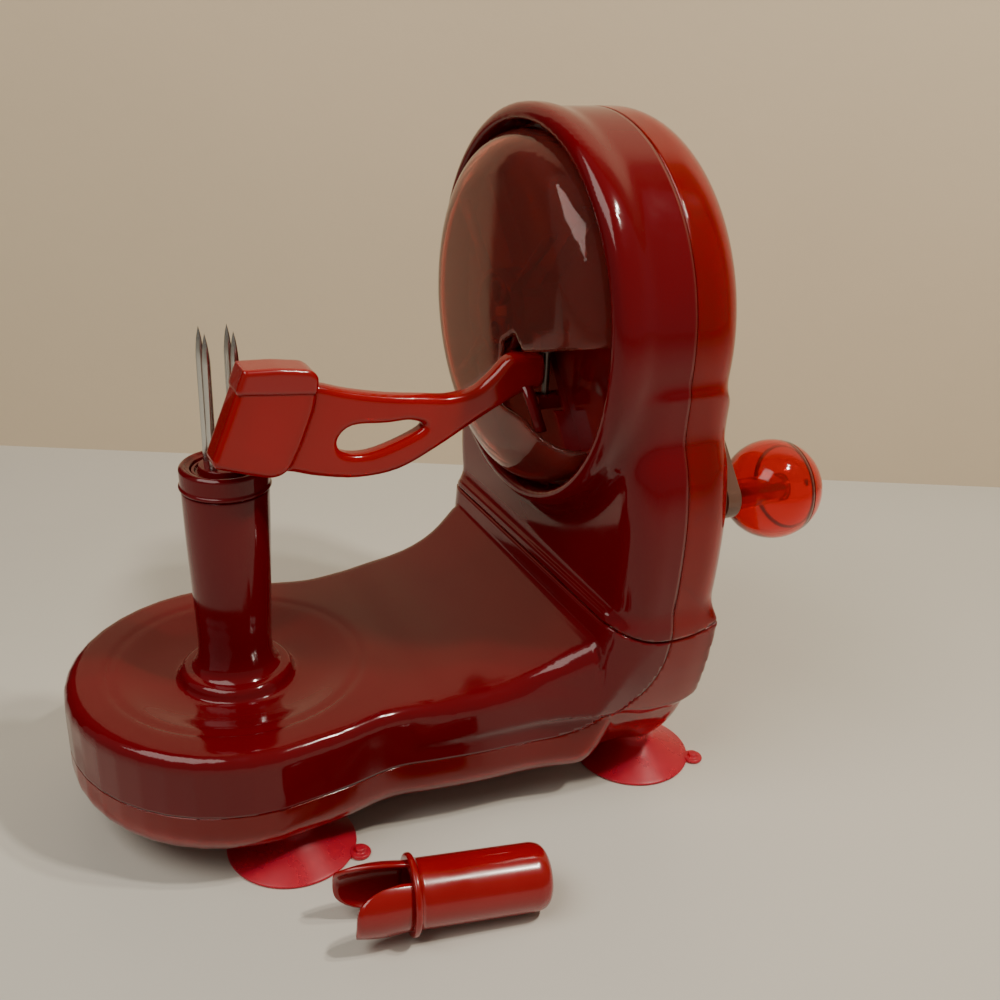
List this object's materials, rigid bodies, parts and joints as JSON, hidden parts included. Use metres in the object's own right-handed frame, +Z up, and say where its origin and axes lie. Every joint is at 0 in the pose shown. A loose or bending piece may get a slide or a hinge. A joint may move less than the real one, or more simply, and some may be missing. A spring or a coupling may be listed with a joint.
{
  "type": "apple peeler corer",
  "caption": "Hand-cranked apple peeler: a fork on a post spins the apple while a disc in the tower carries a sprung blade arm round it; suction feet, loose fork cap.",
  "frame": {"origin": "middle of the fork on the top face of the post; the table is 144 mm below it", "axes": "+X from the post towards the tower and crank, +Z up along the fork; the casing is mirrored about Y = 0"},
  "size_m": [0.2905, 0.2059, 0.27],
  "materials": {
    "opaque_red": "gloss",
    "translucent_red": "gloss",
    "smoky_cover": "gloss",
    "soft_cup": "satin",
    "arm_red": "gloss",
    "inner_plastic": "satin",
    "gear_plastic": "satin",
    "steel": "polished",
    "bush": "satin",
    "smoky_crank": "gloss"
  },
  "bodies": {
    "casing": {"base_top_shell": "opaque_red", "base_bottom_shell": "translucent_red", "tower_front_shell": "opaque_red", "tower_back_shell": "translucent_red", "post": "opaque_red", "post_collar": "opaque_red", "base_screws": "steel", "tower_screws": "steel", "suction_cup_front_left": "soft_cup", "suction_cup_front_right": "soft_cup", "suction_cup_rear_left": "soft_cup", "suction_cup_rear_right": "soft_cup", "spindle_bushes": "bush", "base_shaft_bearings": "inner_plastic", "tower_shaft_bearings": "inner_plastic", "gear_plate": "inner_plastic", "rotor_bush": "bush", "crank_bush": "bush", "idler_axle": "steel"},
    "rotor": {"dome_cover": "smoky_cover", "rotor_plate": "opaque_red", "rotor_hub": "smoky_cover", "rotor_axle": "steel", "rotor_gear": "gear_plastic", "arm_pivot_pin": "steel", "arm_spring": "steel"},
    "arm": {"blade_arm": "arm_red", "blade_head": "arm_red", "head_rim": "opaque_red", "peeling_blade": "steel", "blade_pins": "steel"},
    "crank": {"crank_arm": "smoky_crank", "crank_hub_cap": "smoky_crank", "crank_shaft": "steel", "crank_pinion": "gear_plastic", "crank_bevel_gear": "gear_plastic", "knob_pin": "steel"},
    "knob": {"knob_body": "translucent_red", "knob_lid": "translucent_red"},
    "idler": {"idler_gear": "gear_plastic", "idler_pinion": "gear_plastic"},
    "upright": {"tower_shaft": "steel", "tower_upper_bevel": "gear_plastic", "tower_lower_bevel": "gear_plastic"},
    "base_drive": {"base_shaft": "steel", "base_rear_bevel": "gear_plastic", "base_front_bevel": "gear_plastic"},
    "fork": {"fork_spindle": "steel", "spindle_hub": "opaque_red", "fork_tines": "steel", "fork_bevel_gear": "gear_plastic"},
    "fork_cap": {"fork_cap": "opaque_red"}
  },
  "joints": [
    {"name": "crank_turn", "type": "hinge", "parent": "casing", "child": "crank", "pos_m": [0.181, 0, 0.048], "axis": [-1, 0, 0], "range_deg": [0, 1350]},
    {"name": "knob_spin", "type": "hinge", "parent": "crank", "child": "knob", "pos_m": [0.205, -0.062, -0.016], "axis": [1, 0, 0], "continuous": true},
    {"name": "rotor_turn", "type": "hinge", "parent": "casing", "child": "rotor", "pos_m": [0.12, 0, 0.048], "axis": [-1, 0, 0], "range_deg": [0, 150.5]},
    {"name": "idler_turn", "type": "hinge", "parent": "casing", "child": "idler", "pos_m": [0.143, 0, 0.084], "axis": [1, 0, 0], "range_deg": [0, 450.5]},
    {"name": "upright_turn", "type": "hinge", "parent": "casing", "child": "upright", "pos_m": [0.157, 0, -0.044], "axis": [0, 0, 1], "range_deg": [0, 5400]},
    {"name": "base_shaft_turn", "type": "hinge", "parent": "casing", "child": "base_drive", "pos_m": [0.08, 0, -0.106], "axis": [1, 0, 0], "range_deg": [0, 5400]},
    {"name": "fork_turn", "type": "hinge", "parent": "casing", "child": "fork", "pos_m": [0, 0, -0.044], "axis": [0, 0, -1], "range_deg": [0, 5400]},
    {"name": "arm_swing", "type": "hinge", "parent": "rotor", "child": "arm", "pos_m": [0.1215, -0.02, 0.03], "axis": [0, 0, 1], "range_deg": [0, 14], "stiffness_Nm_per_rad": 0.4, "springref_deg": -34.38, "deforming": ["arm_spring"]},
    {"name": "cap_lift", "type": "slide", "parent": "casing", "child": "fork_cap", "axis": [0, 0, 1], "range_m": [0, 0.06]}
  ],
  "couplings": [
    {"joint": "rotor_turn", "follows": "crank_turn", "ratio": 0.11111},
    {"joint": "idler_turn", "follows": "crank_turn", "ratio": 0.33333},
    {"joint": "upright_turn", "follows": "crank_turn", "ratio": 4},
    {"joint": "base_shaft_turn", "follows": "crank_turn", "ratio": 4},
    {"joint": "fork_turn", "follows": "crank_turn", "ratio": 4}
  ]
}
